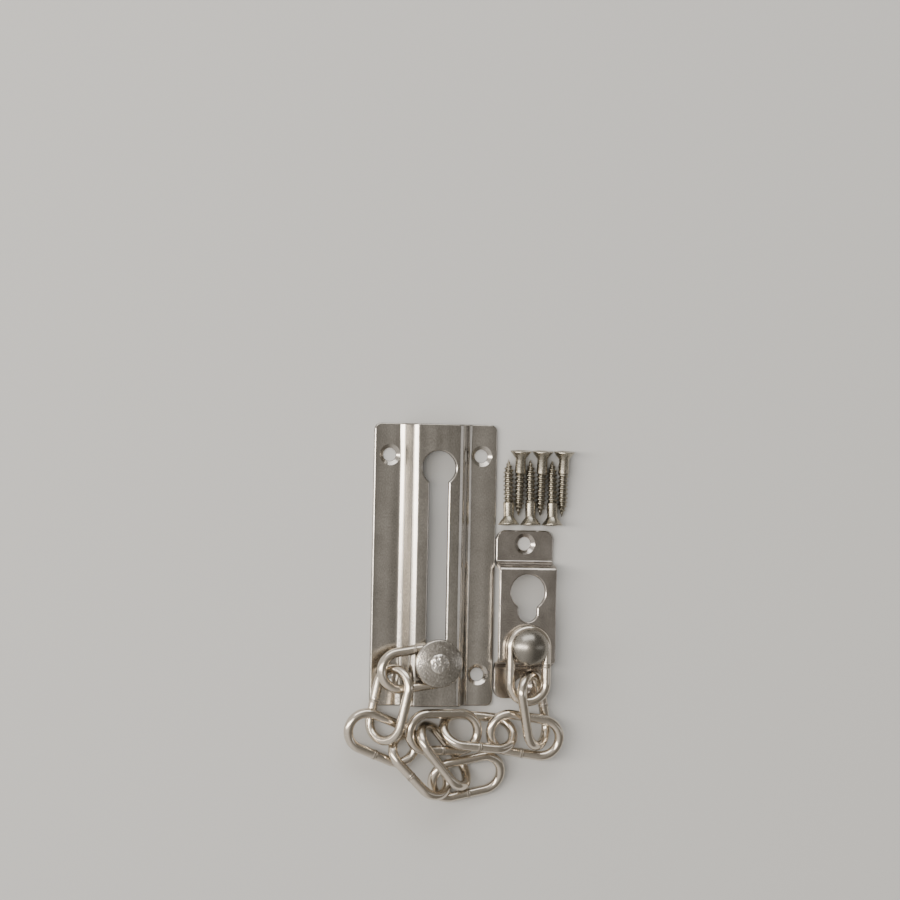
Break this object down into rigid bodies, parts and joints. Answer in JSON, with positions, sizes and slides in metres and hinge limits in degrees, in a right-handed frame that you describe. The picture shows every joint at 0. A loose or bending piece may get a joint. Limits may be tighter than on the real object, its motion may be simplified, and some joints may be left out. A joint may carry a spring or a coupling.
{
  "type": "door chain guard",
  "caption": "Door chain guard: flanged track plate with keyhole slot and sliding stud, welded link chain, riveted keeper plate and loose wood screws.",
  "frame": {"origin": "middle of the track plate's four screw holes, on its back face", "axes": "+X right, +Y up the track towards the entry hole, +Z out of the plates; it lies on its back on z = 0"},
  "size_m": [0.0704, 0.114, 0.0137],
  "materials": {
    "plate_nickel": "nickel plated pressed sheet, satin to bright",
    "stud_nickel": "dull nickel with a tumbled grain",
    "rivet_nickel": "polished nickel",
    "chain_nickel": "bright nickel plated wire",
    "screw_zinc": "bright zinc plated"
  },
  "bodies": {
    "track": {"track_plate": "plate_nickel"},
    "stud": {"slide_stud": "stud_nickel", "stud_cap": "stud_nickel"},
    "keeper": {"keeper_plate": "plate_nickel", "keeper_rivet": "rivet_nickel"},
    "screws": {"wood_screw_1": "screw_zinc", "wood_screw_2": "screw_zinc", "wood_screw_3": "screw_zinc", "wood_screw_4": "screw_zinc", "wood_screw_5": "screw_zinc", "wood_screw_6": "screw_zinc"},
    "link_01": {"chain_link_01": "chain_nickel"},
    "link_02": {"chain_link_02": "chain_nickel"},
    "link_03": {"chain_link_03": "chain_nickel"},
    "link_04": {"chain_link_04": "chain_nickel"},
    "link_05": {"chain_link_05": "chain_nickel"},
    "link_06": {"chain_link_06": "chain_nickel"},
    "link_07": {"chain_link_07": "chain_nickel"},
    "link_08": {"chain_link_08": "chain_nickel"},
    "link_09": {"chain_link_09": "chain_nickel"},
    "link_10": {"chain_link_10": "chain_nickel"},
    "link_11": {"chain_link_11": "chain_nickel"}
  },
  "joints": [
    {"name": "stud_slide", "type": "slide", "parent": "track", "child": "stud", "axis": [0, 1, 0], "range_m": [0, 0.05]},
    {"name": "link_11_swivel", "type": "hinge", "parent": "stud", "child": "link_11", "pos_m": [0, -0.02925, 0.0079], "axis": [0, 0, 1], "range_deg": [0, 36.94]},
    {"name": "link_10_turn", "type": "hinge", "parent": "link_11", "child": "link_10", "pos_m": [-0.01496, -0.03197, 0.00793], "axis": [-0.3234, 0.0638, -0.9441], "range_deg": [0, 46.15]},
    {"name": "link_09_turn", "type": "hinge", "parent": "link_10", "child": "link_09", "pos_m": [-0.02107, -0.05247, 0.00528], "axis": [-0.0326, 0.1518, -0.9879], "range_deg": [0, 108.22]},
    {"name": "link_08_turn", "type": "hinge", "parent": "link_09", "child": "link_08", "pos_m": [-0.00682, -0.05387, 0.00165], "axis": [-0.0513, 0.4401, 0.8965], "range_deg": [0, 74.25]},
    {"name": "link_05_turn", "type": "hinge", "parent": "track", "child": "link_05", "pos_m": [0.00623, -0.04925, 0.00819], "axis": [0.1866, 0.136, -0.973], "range_deg": [0, 54.02]},
    {"name": "link_06_turn", "type": "hinge", "parent": "link_05", "child": "link_06", "pos_m": [-0.00252, -0.05097, 0.00698], "axis": [-0.2545, -0.1552, -0.9545], "range_deg": [0, 78.18]},
    {"name": "link_07_turn", "type": "hinge", "parent": "link_06", "child": "link_07", "pos_m": [0.01304, -0.06736, 0.00023], "axis": [0.3414, -0.497, 0.7978], "range_deg": [0, 87.26]},
    {"name": "keeper_away", "type": "slide", "parent": "track", "child": "keeper", "axis": [1, 0, 0], "range_m": [0, 0.04]},
    {"name": "link_01_swivel", "type": "hinge", "parent": "keeper", "child": "link_01", "pos_m": [0.0282, -0.02435, 0.0084], "axis": [0, 0, -1], "range_deg": [0, 64.94]},
    {"name": "link_02_turn", "type": "hinge", "parent": "link_01", "child": "link_02", "pos_m": [0.03716, -0.0441, 0.0097], "axis": [-0.1917, 0.6242, 0.7574], "range_deg": [0, 27.41]},
    {"name": "link_03_turn", "type": "hinge", "parent": "link_02", "child": "link_03", "pos_m": [0.03479, -0.0544, 0.00246], "axis": [0.2828, -0.3307, 0.9004], "range_deg": [0, 56.94]},
    {"name": "link_04_turn", "type": "hinge", "parent": "track", "child": "link_04", "pos_m": [0.00993, -0.03046, 0.00387], "axis": [-0.0364, 0.1074, 0.9935], "range_deg": [0, 19.21]},
    {"name": "screws_lift", "type": "slide", "parent": "track", "child": "screws", "axis": [0, 0, 1], "range_m": [0, 0.03]}
  ],
  "couplings": [
    {"joint": "link_11_swivel", "follows": "stud_slide", "rad_per_m": 12.397},
    {"joint": "link_10_turn", "follows": "stud_slide", "rad_per_m": 15.489},
    {"joint": "link_09_turn", "follows": "stud_slide", "rad_per_m": 36.324},
    {"joint": "link_08_turn", "follows": "stud_slide", "rad_per_m": 24.92},
    {"joint": "link_05_turn", "follows": "stud_slide", "rad_per_m": 18.131},
    {"joint": "link_06_turn", "follows": "stud_slide", "rad_per_m": 26.24},
    {"joint": "link_07_turn", "follows": "stud_slide", "rad_per_m": 29.288},
    {"joint": "link_01_swivel", "follows": "keeper_away", "rad_per_m": 27.244},
    {"joint": "link_02_turn", "follows": "keeper_away", "rad_per_m": 11.501},
    {"joint": "link_03_turn", "follows": "keeper_away", "rad_per_m": 23.89},
    {"joint": "link_04_turn", "follows": "keeper_away", "rad_per_m": 8.0596}
  ]
}
